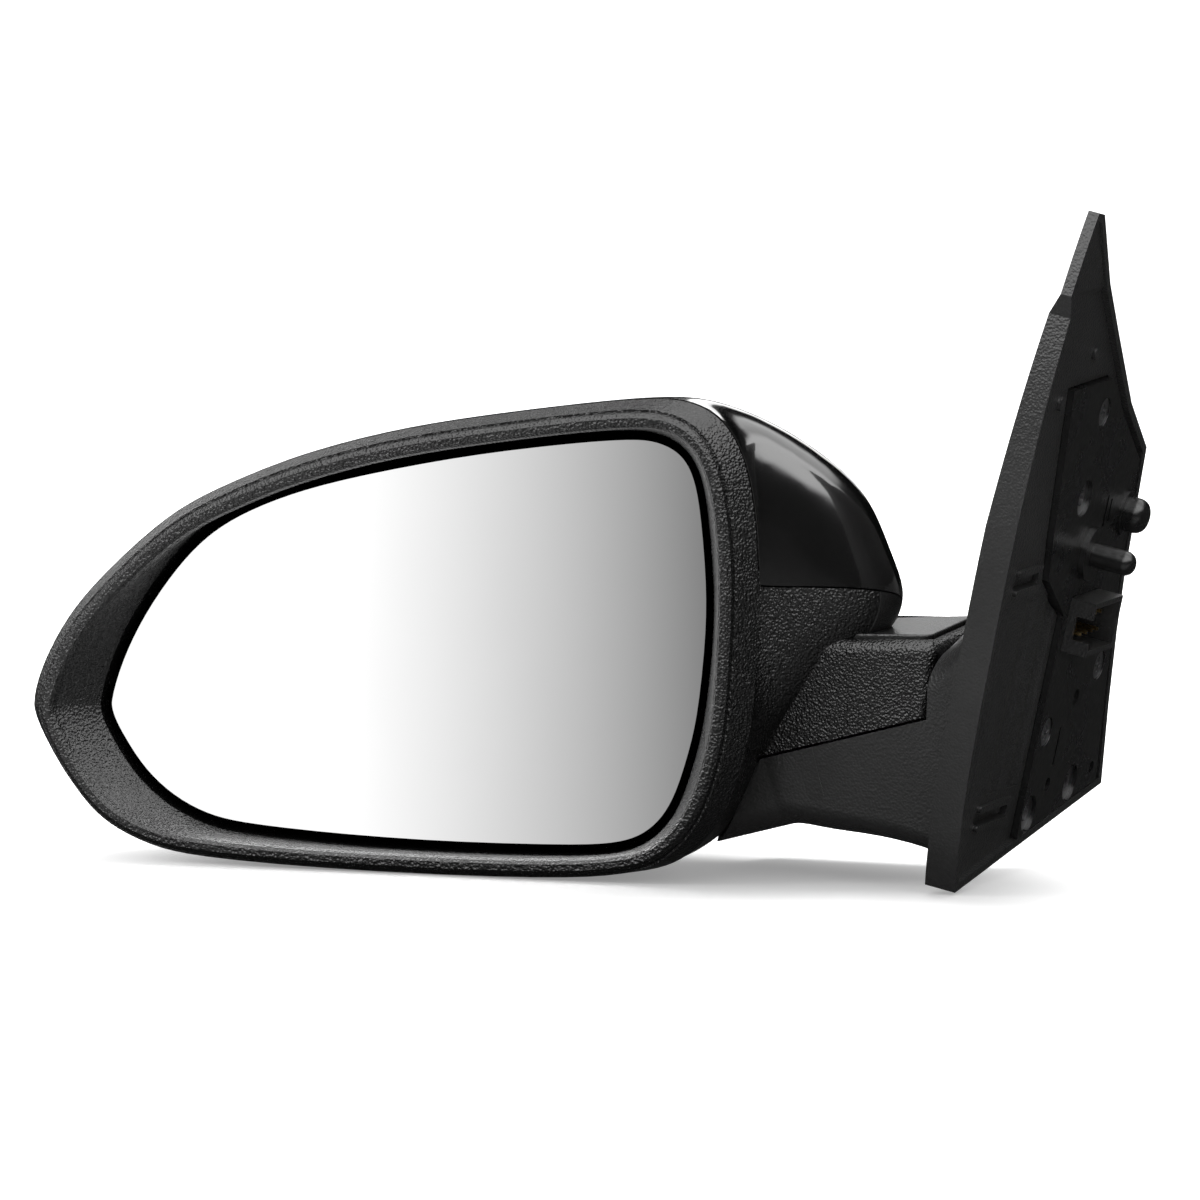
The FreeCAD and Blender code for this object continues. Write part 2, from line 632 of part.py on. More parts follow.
def edge_frame(depth, shift, above):
    """A tall rectangle at a depth, above or below the cap's lower edge."""
    far = 60.0
    x0, x1 = RIM_LEFT - far, RIM_RIGHT + 2 * far
    y = RIM_Y + depth
    limit = RIM_TOP + far if above else RIM_LOW - far
    corners = [V(x0, y, cap_edge_height(x0, depth) + shift),
               V(x1, y, cap_edge_height(x1, depth) + shift), V(x1, y, limit), V(x0, y, limit)]
    return Part.makePolygon(corners + corners[:1])


def cap_zone(extra):
    """The region of the skin that belongs to the gloss cap."""
    start, end = BAND_DEPTH - extra, 2 * HEAD_DEPTH
    zone = Part.makeLoft([edge_frame(start, -extra, True), edge_frame(end, -extra, True)], True, True)
    lengthwise = [e for e in zone.Edges if e.BoundBox.YMax < RIM_Y + start + 0.01
                  and e.BoundBox.XLength > RIM_WIDTH and e.BoundBox.ZMax < RIM_TOP]
    return zone.makeFillet(CAP_CORNER, lengthwise)


def lower_zone(extra):
    """The region of the skin that belongs to the lower front cover."""
    start, end = HOUSING_DEPTH - extra, 2 * HEAD_DEPTH
    return Part.makeLoft([edge_frame(start, 0, False), edge_frame(end, 0, False)], True, True)


def build_head_shells():
    bead, band, nose = head_outer()
    head = bead.fuse([band, nose])
    neck = on_fold(neck_form(0))
    room = head_inner()
    neck_hollow = on_fold(neck_form(NECK_WALL))
    mouth = mouth_room()
    pocket = on_fold(pocket_form(0))

    skin = head.cut(room)
    recess = on_fold(neck_cover_form(SEAM_GAP))
    neck_shell = cut_all(neck, [neck_hollow, room, recess])
    pocket_wall = on_fold(pocket_form(NECK_WALL)).common(head.fuse(neck))
    holes = [mouth, pocket, on_fold(cylinder(BARREL_NOSE_RADIUS + 0.6, -NECK_WALL, 2 * NECK_WALL))]

    clear = [bowl(SEAT_GAP), on_fold(neck_form(-SEAM_GAP))]
    keep("cap_cover", largest(cut_all(skin.common(cap_zone(0)), clear + [recess])))
    clear += [cap_zone(SEAM_GAP), on_fold(pocket_form(NECK_WALL + SEAM_GAP))]
    below, flank = sorted(cut_all(skin.common(lower_zone(0)), clear).Solids,
                          key=lambda solid: -solid.Volume)[:2]
    keep("lower_front_cover", below)

    rear_skin = cut_all(skin, [cap_zone(SEAM_GAP), lower_zone(SEAM_GAP), neck_hollow])
    back_wall = bowl(0).common(head).cut(panel_holes())
    housing = rear_skin.fuse([neck_shell, pocket_wall.cut(neck_hollow.cut(on_fold(floor_slab()))),
                              back_wall])
    keep("rear_housing", largest(cut_all(housing, holes + NODES["cap_cover"])))
    cover = on_fold(neck_cover_form(0)).fuse(flank)
    keep("neck_cover", largest(cut_all(cover, [room, cap_zone(SEAM_GAP)] + NODES["rear_housing"])))


def floor_slab():
    """The neck's floor, kept when the neck is hollowed."""
    return block(-NECK_REACH, 2 * NECK_END, -NECK_HALF_WIDTH, NECK_HALF_WIDTH, 0, NECK_WALL)


def behind(spot, radius, low, high):
    """A cylinder along the depth, placed from the glass's pivot; low and high are depths."""
    return cylinder(radius, RIM_Y + low, RIM_Y + high, (GIMBAL.x + spot[0], GIMBAL.z + spot[1]), "y")


def ear_spots():
    return [(EAR_OFFSET * math.cos(math.radians(a)), EAR_OFFSET * math.sin(math.radians(a)))
            for a in EAR_ANGLES]


def panel_holes():
    holes = [behind((0, 0), ACTUATOR_RADIUS + 1.0, BOWL_STRAIGHT + 2, BOWL_DEPTH + PANEL + 2)]
    holes += [behind(s, SMALL_SCREW + SCREW_CLEARANCE, BOWL_STRAIGHT, BOWL_DEPTH + PANEL + 2)
              for s in ear_spots() + FRAME_SCREW_SPOTS]
    return Part.makeCompound(holes)


# ---------------------------------------------------------------- head frame and pivot
def build_head_frame():
    start = BOWL_DEPTH + PANEL
    end = start + FRAME_PLATE
    margin = SKIN + FRAME_SIDE_GAP
    limit = Part.makeLoft([head_section(start, margin), head_section(end, margin)], True, True)
    ring_radius = ACTUATOR_RADIUS + FRAME_SIDE_GAP
    pieces = [behind((0, 0), ring_radius + FRAME_RING, start, end)]
    pieces += [behind(s, FRAME_LUG_RADIUS, start, end) for s in FRAME_SCREW_SPOTS]
    arm_end = FOLD.multVec(V(ARM_INNER_END, 0, 0))
    arm_low = FOLD.multVec(V(ARM_INNER_END, 0, NECK_WALL)).z + 2.0
    pieces.append(block(GIMBAL.x, arm_end.x + BARREL_NOSE_RADIUS, RIM_Y + start, RIM_Y + end,
                        arm_low, arm_low + 2 * BARREL_TOP))
    plate = pieces[0].multiFuse(pieces[1:]).common(limit)
    clear_low = NECK_WALL + SEAM_GAP
    arm = on_fold(block(ARM_INNER_END, 0, ARM_REAR, ARM_AHEAD, clear_low, BARREL_TOP - 1.0))
    barrel = cylinder(BARREL_RADIUS, clear_low, BARREL_TOP)
    nose = cylinder(BARREL_NOSE_RADIUS, DETENT_TOP + SEAT_GAP, clear_low)
    frame = plate.fuse([arm, on_fold(barrel.fuse(nose))])
    cuts = [behind((0, 0), ring_radius, start - 1, end + ACTUATOR_BACK)]
    cuts += [behind(s, SMALL_SCREW, start - 1, end + 1) for s in ear_spots() + FRAME_SCREW_SPOTS]
    cuts.append(on_fold(cylinder(SPRING_POCKET_RADIUS, BARREL_FLOOR, BARREL_TOP + 1)))
    cuts.append(on_fold(cylinder(BUSH_OUTER, -5, BARREL_FLOOR + 1)))
    keep("head_frame", largest(cut_all(frame, cuts)))

    bush = tube(BUSH_OUTER, POST_RADIUS + RUNNING_GAP, DETENT_TOP + SEAT_GAP, BARREL_FLOOR)
    keep("pivot_bush", on_fold(bush))

    spots = FRAME_SCREW_SPOTS
    screws = [behind(s, SMALL_HEAD, BOWL_DEPTH - 2.0, BOWL_DEPTH).fuse(
        behind(s, SMALL_SCREW, BOWL_DEPTH - 1.0, end)) for s in spots]
    keep("frame_screws", screws)


DETENT_BOTTOM = POST_SEAT + POST_FLANGE
DETENT_TOP = DETENT_BOTTOM + DETENT_THICKNESS
BUSH_OUTER = POST_RADIUS + RUNNING_GAP + BUSH_WALL


def build_pivot():
    retainer_low = POST_TOP - 2 * RETAINER_THICKNESS
    washer_low = retainer_low - WASHER_THICKNESS
    post = cylinder(POST_RADIUS, POST_SEAT - BRACKET_PAD, POST_TOP).fuse(
        cylinder(POST_FLANGE_RADIUS, POST_SEAT, DETENT_BOTTOM))
    post = post.cut(cylinder(POST_BORE_RADIUS, POST_SEAT - BRACKET_PAD - 1, POST_TOP + 1))
    post = post.cut(tube(POST_RADIUS + 1, POST_RADIUS - RETAINER_DEPTH, retainer_low,
                         retainer_low + RETAINER_THICKNESS))
    keep("pivot_post", on_fold(post))

    detent = tube(POST_FLANGE_RADIUS, POST_RADIUS, DETENT_BOTTOM, DETENT_TOP)
    for i in range(DETENT_BUMPS):
        angle = 2 * math.pi * i / DETENT_BUMPS
        spot = (10.5 * math.cos(angle), 10.5 * math.sin(angle))
        detent = detent.cut(cylinder(1.2, DETENT_TOP - 0.5, DETENT_TOP + 1, spot))
    keep("detent_ring", on_fold(detent))

    keep("spring_washer", on_fold(tube(POST_FLANGE_RADIUS, POST_RADIUS, washer_low, retainer_low)))
    retainer = tube(POST_RADIUS + 2.5, POST_RADIUS - RETAINER_DEPTH, retainer_low,
                    retainer_low + RETAINER_THICKNESS)
    gap = block(0, POST_RADIUS + 4, -1.5, 1.5, retainer_low - 1, POST_TOP + 1)
    keep("retaining_ring", on_fold(retainer.cut(gap)))

    wire = SPRING_WIRE / 2
    low = BARREL_FLOOR + SEAT_GAP + wire
    rise = washer_low - wire - low
    steps = round(12 * SPRING_TURNS)
    sections = []
    for i in range(steps + 1):
        turn = 2 * math.pi * SPRING_TURNS * i / steps
        out = V(math.cos(turn), math.sin(turn), 0)
        centre = out * SPRING_MEAN_RADIUS + V(0, 0, low + rise * i / steps)
        sections.append(closed_curve([centre + out * (wire * math.cos(a)) + Z_AXIS * (wire * math.sin(a))
                                      for a in (math.radians(45 * k) for k in range(8))]))
    keep("fold_spring", on_fold(Part.makeLoft(sections, True, False)))


# ---------------------------------------------------------------- base
def tray_depth(height):
    """Depth of the base cover behind the door face at a height."""
    if height <= COVER_TAPER_START:
        return COVER_DEPTH
    share = (height - COVER_TAPER_START) / (SAIL_STEP_LOW - COVER_TAPER_START)
    return COVER_DEPTH + (SAIL_STEP_DEPTH - COVER_DEPTH) * share


def taper_cut(shift):
    """What lies outboard of the tapered tray, moved inboard by shift."""
    far = 60.0
    profile = [V(-far, -200, COVER_TAPER_START), V(shift - COVER_DEPTH, -200, COVER_TAPER_START),
               V(shift - SAIL_STEP_DEPTH, -200, SAIL_STEP_LOW),
               V(shift - SAIL_DEPTH, -200, SAIL_STEP_HIGH),
               V(shift - SAIL_DEPTH, -200, 2 * SAIL_TIP[1]), V(-far, -200, 2 * SAIL_TIP[1])]
    return Part.Face(Part.makePolygon(profile + profile[:1])).extrude(Y_AXIS * 400)


def mitred(points, inset):
    """A polygon's corners moved inwards so that each side moves by inset."""
    moved = []
    count = len(points)
    for i in range(count):
        (ax, az), (bx, bz), (cx, cz) = points[i - 1], points[i], points[(i + 1) % count]
        first = V(bx - ax, bz - az, 0).normalize()
        second = V(cx - bx, cz - bz, 0).normalize()
        n1, n2 = V(-first.y, first.x, 0), V(-second.y, second.x, 0)
        way = n1 + n2
        scale = inset / (way.Length ** 2 / 2)
        moved.append((bx + way.x * scale, bz + way.y * scale))
    return moved


def tray_prism(inset, low, high):
    """The base's outline, smaller by inset, as a prism along the door's normal."""
    whole = BASE_OUTLINE + [SAIL_TIP] + REAR_EDGE_HIGH + REAR_EDGE_LOW[:-1]
    corners = [V(low, y, w) for y, w in mitred(whole, inset)]
    tip = len(BASE_OUTLINE)
    step = tip + len(REAR_EDGE_HIGH)
    edges = [Part.LineSegment(corners[i], corners[i + 1]).toShape() for i in range(tip)]
    for run in (corners[tip:step + 1], corners[step + 1:] + corners[:1]):
        curve = Part.BSplineCurve()
        curve.interpolate(run)
        edges.append(curve.toShape())
    edges.insert(tip + 1, Part.LineSegment(corners[step], corners[step + 1]).toShape())
    return Part.Face(Part.Wire(edges)).extrude(X_AXIS * (high - low))


def foot_section(x, inset, depth, top, half, shear):
    """One section of the foot across the fold frame's x; shear lifts its front side."""
    corner = FOLD.multVec(V(x, 0, 0))
    up = FOLD.Rotation.multVec(Z_AXIS)
    return rounded_section(corner, Y_AXIS + up * shear, up, half - inset, inset - depth,
                           top - inset, FOOT_CORNER)


def foot_form(inset):
    """The foot from the base cover to the pad under the neck, smaller by inset."""
    first = FOOT_STATIONS[0]
    sections = [foot_section(x + (inset if x == first[0] else 0), inset, depth, top, half, shear)
                for x, depth, top, half, shear in FOOT_STATIONS]
    arm = Part.makeLoft(sections, True, False)
    skirt = cone(SKIRT_LOW_RADIUS - inset, SKIRT_TOP_RADIUS - inset, inset - SKIRT_HEIGHT,
                 -SPLIT_GAP - inset)
    ends = [foot_section(x, inset, first[1], first[2], first[3], 0) for x in (-SKIRT_LOW_RADIUS, 1)]
    skirt = on_fold(skirt).common(Part.makeLoft(ends, True, True))
    return arm.fuse(skirt).cut(on_fold(neck_room(inset)))


def rounded_bar(radius, run, height, low, high):
    """A bar with round ends that runs fore and aft on the door side."""
    bar = block(low, high, run[0], run[1], height - radius, height + radius)
    return bar.fuse([cylinder(radius, low, high, (end, height), "x") for end in run])


def flute(centre, half):
    """A shallow round-bottomed channel up the inner floor."""
    radius = (half ** 2 + GROOVE_DEPTH ** 2) / (2 * GROOVE_DEPTH)
    return cylinder(radius, GROOVE_LOW, GROOVE_HIGH, (radius - LIP_RISE - GROOVE_DEPTH, centre))


def inner_floor(depth):
    """The tray's inner floor beside the casting, with its flutes, ribs, slots and bosses."""
    beside = polygon_prism(mitred(PLATFORM, -CASTING_GAP), -depth - 2, 2, "yz")
    floor = block(-depth - 1, -LIP_RISE, -100, 100, -100, 200).cut(beside)
    floor = cut_all(floor, [flute(*groove) for groove in GROOVES])
    for height, rear, front in RIB_PAIRS:
        half = (RIB_SPACING - RIB_THICK) / 2
        floor = floor.cut(rounded_bar(half, (rear, front), height, -RIB_SLOT_DEPTH - LIP_RISE, 0))
        for way in (-1, 1):
            floor = floor.fuse(rounded_bar(RIB_THICK / 2, (rear, front), height + way * RIB_SPACING / 2,
                                           -LIP_RISE - 1, RIB_RISE - LIP_RISE))
    return floor.fuse([cylinder(radius, -LIP_RISE - 1, FLOOR_BOSS_RISE - LIP_RISE, (y, w), "x")
                       for y, w, radius in FLOOR_BOSSES])


def build_base_cover():
    floor = COVER_DEPTH - COVER_WALL
    tray = tray_prism(0, -COVER_DEPTH, 0).cut(taper_cut(0))
    pocket = tray_prism(COVER_WALL, -floor, 1).cut(taper_cut(COVER_WALL))
    inside = inner_floor(floor).common(pocket)
    opening_limit = on_door(block(-100, -LIP_RISE - OPENING_COVER, FOOT_OPENING_REAR, 60, -80, 60)).fuse(
        on_door(block(-100, -COVER_DEPTH, -80, 60, -120, 80)))
    hollow = foot_form(FOOT_WALL).common(opening_limit)
    inboard = on_door(block(-floor - 0.5, 200, -200, 200, -200, 200))
    cover = on_door(tray.cut(pocket).fuse(inside)).fuse(foot_form(0).cut(inboard))
    cover = cover.cut(on_door(pocket.cut(inside))).cut(hollow)
    pilot = [on_door(cylinder(BASE_SCREW_RADIUS, 0.8 - tray_depth(w), 0, (y, w), "x"))
             for y, w in BASE_SCREW_SPOTS]
    post_hole = on_fold(cylinder(POST_FLANGE_RADIUS + POST_HOLE_GAP, POST_SEAT - 1, 1))
    keep("base_cover", largest(cut_all(cover, pilot + [post_hole])))


def bracket_arm():
    """The casting's arm through the foot, from its plate to the pad under the pivot."""
    normal = DOOR.Rotation.multVec(X_AXIS)
    door_up = DOOR.Rotation.multVec(Z_AXIS)
    fold_up = FOLD.Rotation.multVec(Z_AXIS)
    pad_low = POST_SEAT - BRACKET_PAD
    root = COVER_DEPTH - COVER_WALL - PLATFORM_BACK_GAP - 1
    arm = Part.makeLoft([
        rounded_section(V(0, -2.0, 0) - normal * root, Y_AXIS, door_up, 10.0, -31.0, -7.0, 3.0),
        rounded_section(V(0, -7.0, 0) - normal * (COVER_DEPTH + 8), Y_AXIS, door_up, 11.0,
                        -36.0, -16.0, 3.0),
        rounded_section(FOLD.multVec(V(10, 0, 0)), Y_AXIS, fold_up, ARM_HALF_WIDTH, pad_low - 9,
                        POST_SEAT - 1, 3.0)], True, True)
    return arm.fuse(on_fold(cylinder(BRACKET_PAD_RADIUS, pad_low, POST_SEAT)))


def round_peg(spot, radius, length, rounding):
    """A peg on the door side with a rounded end."""
    peg = cylinder(radius, -1, length, spot, "x")
    ends = [edge for edge in peg.Edges if edge.BoundBox.XMin > length - 0.01]
    return peg.makeFillet(rounding, ends)


def build_bracket():
    back = COVER_DEPTH - COVER_WALL - PLATFORM_BACK_GAP
    plate = polygon_prism(PLATFORM, -back, 0, "yz").cut(taper_cut(COVER_WALL + PLATFORM_BACK_GAP))
    long_flange = LONG_PEG_RADIUS + PEG_FLANGE_MARGIN
    short_flange = SHORT_PEG_RADIUS + SHORT_FLANGE_MARGIN
    plate = plate.fuse([round_peg(LONG_PEG, LONG_PEG_RADIUS, LONG_PEG_LENGTH, LONG_PEG_ROUND),
                        cylinder(long_flange, -1, PEG_FLANGE_HEIGHT, LONG_PEG, "x"),
                        round_peg(SHORT_PEG, SHORT_PEG_RADIUS, SHORT_PEG_LENGTH, SHORT_PEG_ROUND),
                        cylinder(short_flange, -1, SHORT_FLANGE_HEIGHT, SHORT_PEG, "x")])
    cuts = [cylinder(INSERT_RADIUS, -back - 1, 1, spot, "x") for spot in FIXING_HOLES]
    for spot in BASE_SCREW_SPOTS:
        cuts.append(cylinder(BASE_SCREW_RADIUS + SCREW_CLEARANCE, -COVER_DEPTH, 1, spot, "x"))
        cuts.append(cylinder(BASE_SCREW_HEAD_RADIUS + SCREW_CLEARANCE, -BASE_SCREW_HEAD - 0.2, 1,
                             spot, "x"))
    play = SCREW_CLEARANCE
    cuts.append(block(-COVER_DEPTH, 1, CONNECTOR_REAR - play, CONNECTOR_REAR + CONNECTOR_LENGTH + play,
                      CONNECTOR_LOW - play, CONNECTOR_LOW + CONNECTOR_HEIGHT + play))
    cuts += [block(-SLIT_DEPTH, 1, *sides) for sides in CASTING_SLITS]
    cuts += [cylinder(radius, -DIMPLE_DEPTH, 1, (y, w), "x") for y, w, radius in CASTING_DIMPLES]
    bracket = on_door(plate).fuse(bracket_arm()).cut(on_door(Part.makeCompound(cuts)))
    bore = cylinder(POST_RADIUS, POST_SEAT - 4 * BRACKET_PAD, POST_SEAT + 1)
    keep("base_bracket", largest(bracket.cut(on_fold(bore))))

    inserts = [tube(INSERT_RADIUS, THREAD_RADIUS, -INSERT_RECESS - INSERT_LENGTH, -INSERT_RECESS,
                    spot, "x") for spot in FIXING_HOLES]
    keep("threaded_inserts", [on_door(piece) for piece in inserts])
    screws = []
    for spot in BASE_SCREW_SPOTS:
        screw = cylinder(BASE_SCREW_HEAD_RADIUS, -BASE_SCREW_HEAD - 0.2, -0.4, spot, "x").fuse(
            cylinder(BASE_SCREW_RADIUS, 0.8 - tray_depth(spot[1]), -1, spot, "x"))
        cross = [block(-1.6, 1, spot[0] - 2.4, spot[0] + 2.4, spot[1] - 0.5, spot[1] + 0.5),
                 block(-1.6, 1, spot[0] - 0.5, spot[0] + 0.5, spot[1] - 2.4, spot[1] + 2.4)]
        screws.append(on_door(cut_all(screw, cross)))
    keep("base_screws", screws)


def build_connector():
    y0, y1 = CONNECTOR_REAR, CONNECTOR_REAR + CONNECTOR_LENGTH
    w0, w1 = CONNECTOR_LOW, CONNECTOR_LOW + CONNECTOR_HEIGHT
    wall = CONNECTOR_WALL
    back = CONNECTOR_BACK
    shell = block(-back, CONNECTOR_STANDOUT, y0, y1, w0, w1)
    socket = block(CONNECTOR_FLOOR, CONNECTOR_STANDOUT + 1, y0 + wall, y1 - wall, w0 + wall, w1 - wall)
    notch_low = w0 + 4.0
    notch = block(CONNECTOR_STANDOUT - 0.75 * LATCH_NOTCH, CONNECTOR_STANDOUT + 1, y0 - 1,
                  y0 + wall + 0.1, notch_low, notch_low + LATCH_NOTCH)
    columns, rows = 4, 2
    pins = []
    for i in range(columns):
        for j in range(rows):
            y = y0 + (y1 - y0) * (i + 1) / (columns + 1)
            w = w0 + (w1 - w0) * (j + 1) / (rows + 1)
            half = PIN_SIDE / 2
            pins.append(block(-back, CONNECTOR_FLOOR + PIN_LENGTH, y - half, y + half,
                              w - half, w + half))
    shell = cut_all(shell, [socket, notch] + pins)
    keep("connector_shell", on_door(shell))
    keep("connector_pins", [on_door(pin) for pin in pins])

    def door(p, y, w):
        return DOOR.multVec(V(p, y, w))

    def fold(x, y, z):
        return FOLD.multVec(V(x, y, z))

    exit_height = w0 + 4.0
    low = POST_SEAT - BRACKET_PAD - 6.5
    base = bundle([door(-back, -3.0, exit_height), door(-back - 5.5, -3.0, exit_height),
                   fold(53.5, -6.0, -8.0), fold(24.0, -18.5, low), fold(0, -18.5, low),
                   fold(0, 0, low), fold(0, 0, WIRE_SPLIT)], 3.5)
    keep("base_harness", base)
    top = NECK_HEIGHT - NECK_WALL - WIRE_RADIUS - 2.0
    actuator_back = RIM_Y + ACTUATOR_BACK
    head = bundle([fold(0, 0, WIRE_SPLIT + SEAT_GAP), fold(0, 0, top), fold(-34.0, 4.0, top),
                   V(GIMBAL.x + 45.0, actuator_back + 8.0, GIMBAL.z - 14.0),
                   V(GIMBAL.x + 26.0, actuator_back + 8.0, GIMBAL.z - 8.0),
                   V(GIMBAL.x + 26.0, actuator_back, GIMBAL.z - 8.0)], 5.0)
    keep("head_harness", head)


# ---------------------------------------------------------------- actuator and glass
def across(spot, radius, low, high, direction, depth):
    """A cylinder in the actuator's plane, along x or z, at a depth."""
    if direction == "x":
        return cylinder(radius, GIMBAL.x + low, GIMBAL.x + high, (RIM_Y + depth, GIMBAL.z + spot), "x")
    return cylinder(radius, GIMBAL.z + low, GIMBAL.z + high, (GIMBAL.x + spot, RIM_Y + depth), "z")


def jack_spots():
    return {"pan": (SCREW_OFFSET, 0.0), "tilt": (0.0, -SCREW_OFFSET)}


def nut_tip():
    return NUT_RADIUS + TOOTH_HEIGHT


def worm_line():
    return SCREW_OFFSET - nut_tip() - WORM_GAP - WORM_RADIUS


def motor_runs():
    """Each motor's line, direction and start along it, from the glass's pivot."""
    return {"pan": (worm_line(), "z", 1), "tilt": (-worm_line(), "x", -1)}


def build_actuator():
    back = ACTUATOR_BACK
    plate_back = ACTUATOR_FRONT + COVER_PLATE
    inner = ACTUATOR_RADIUS - ACTUATOR_WALL
    floor = back - ACTUATOR_WALL
    axis_depth = NUT_DEPTH + NUT_THICKNESS / 2
    pieces = [behind((0, 0), ACTUATOR_RADIUS, plate_back, back)]
    for x, z in ear_spots():
        pieces.append(behind((x, z), EAR_RADIUS, BOWL_DEPTH - EAR_THICKNESS, BOWL_DEPTH))
        pieces.append(behind((0.9 * x, 0.9 * z), EAR_RADIUS, BOWL_DEPTH - EAR_THICKNESS, BOWL_DEPTH))
    base = pieces[0].multiFuse(pieces[1:]).cut(behind((0, 0), inner, plate_back - 1, floor))
    for spot in jack_spots().values():
        base = base.fuse(behind(spot, NUT_SUPPORT_RADIUS, NUT_DEPTH + NUT_THICKNESS + SEAT_GAP,
                                floor + 0.5))
        base = base.cut(behind(spot, NUT_SUPPORT_BORE, NUT_DEPTH, floor))
    middle = MOTOR_START + MOTOR_LENGTH / 2
    for line, direction, way in motor_runs().values():
        cx, cz = (line, way * middle) if direction == "z" else (way * middle, line)
        saddle = block(GIMBAL.x + cx - SADDLE_HALF, GIMBAL.x + cx + SADDLE_HALF,
                       RIM_Y + axis_depth + MOTOR_RADIUS - 1.5, RIM_Y + floor + 0.5,
                       GIMBAL.z + cz - SADDLE_HALF, GIMBAL.z + cz + SADDLE_HALF)
        room = across(line, MOTOR_RADIUS, -50, 50, direction, axis_depth)
        base = base.fuse(saddle.cut(room))
    base = cut_all(base, [behind(s, SMALL_SCREW + SCREW_CLEARANCE, BOWL_DEPTH - EAR_THICKNESS - 1,
                                 BOWL_DEPTH + 1) for s in ear_spots()])
    keep("actuator_base", largest(base))

    post_tip = GIMBAL_DEPTH - RING_HEIGHT / 2 - 0.3
    cover = behind((0, 0), ACTUATOR_RADIUS, ACTUATOR_FRONT, plate_back).fuse(
        behind((0, 0), GIMBAL_POST_RADIUS, post_tip, ACTUATOR_FRONT + 1))
    cover = cut_all(cover, [behind(s, JACK_RADIUS + 1.2, ACTUATOR_FRONT - 1, plate_back + 1)
                            for s in jack_spots().values()])
    cover = cover.cut(across(0, GIMBAL_PIN + RUNNING_GAP, -10, 10, "z", GIMBAL_DEPTH))
    keep("actuator_cover", cover)

    head_top = BOWL_DEPTH - EAR_THICKNESS
    keep("actuator_screws", [
        behind(s, SMALL_HEAD, head_top - 2.0, head_top).fuse(
            behind(s, SMALL_SCREW, head_top - 1.0, BOWL_DEPTH + PANEL + FRAME_PLATE))
        for s in ear_spots()])

    for name, (line, direction, way) in motor_runs().items():
        def run(radius, a, b):
            low, high = sorted((way * a, way * b))
            return across(line, radius, low, high, direction, axis_depth)
        start, end = MOTOR_START, MOTOR_START + MOTOR_LENGTH
        motor = run(MOTOR_RADIUS, start, end).fuse(run(2.5, start - 1.0, start + 1))
        keep(name + "_motor", motor.cut(run(MOTOR_SHAFT, start - 2, start + 4)))
        half = WORM_LENGTH / 2
        worm = run(WORM_RADIUS - 0.8, -half, half).fuse(run(MOTOR_SHAFT, 0, start + 4))
        ridges = 5
        for i in range(ridges):
            at = -half + WORM_LENGTH * (i + 0.5) / ridges
            worm = worm.fuse(run(WORM_RADIUS, at - 0.6, at + 0.6))
        keep(name + "_worm", worm)

    for name, spot in jack_spots().items():
        keep(name + "_nut_gear", nut_gear(spot))
        keep(name + "_jackscrew", jackscrew(spot))


def nut_gear(spot):
    points = []
    for i in range(NUT_TEETH):
        for radius, share in ((NUT_RADIUS, 0.0), (NUT_RADIUS, 0.36), (nut_tip(), 0.5), (nut_tip(), 0.86)):
            angle = 2 * math.pi * (i + share) / NUT_TEETH
            points.append((GIMBAL.x + spot[0] + radius * math.cos(angle),
                           GIMBAL.z + spot[1] + radius * math.sin(angle)))
    gear = polygon_prism(points, RIM_Y + NUT_DEPTH, RIM_Y + NUT_DEPTH + NUT_THICKNESS, "xz")
    return gear.cut(behind(spot, JACK_RADIUS + RUNNING_GAP, NUT_DEPTH - 1, NUT_DEPTH + NUT_THICKNESS + 1))


def jackscrew(spot):
    centre = V(GIMBAL.x + spot[0], GIMBAL.y, GIMBAL.z + spot[1])
    neck_end = GIMBAL_DEPTH + BALL_RADIUS + 1.0
    return Part.makeSphere(BALL_RADIUS, centre).fuse([
        behind(spot, JACK_NECK_RADIUS, GIMBAL_DEPTH, neck_end + 0.5),
        behind(spot, JACK_RADIUS, neck_end, JACK_TAIL)])


def glass_plate(inset, low, high):
    glass = outline(GLASS_SHAPE, GLASS_BOX)
    return Part.makeLoft([at_depth(moved_out(glass, -inset), low),
                          at_depth(moved_out(glass, -inset), high)], True, True)


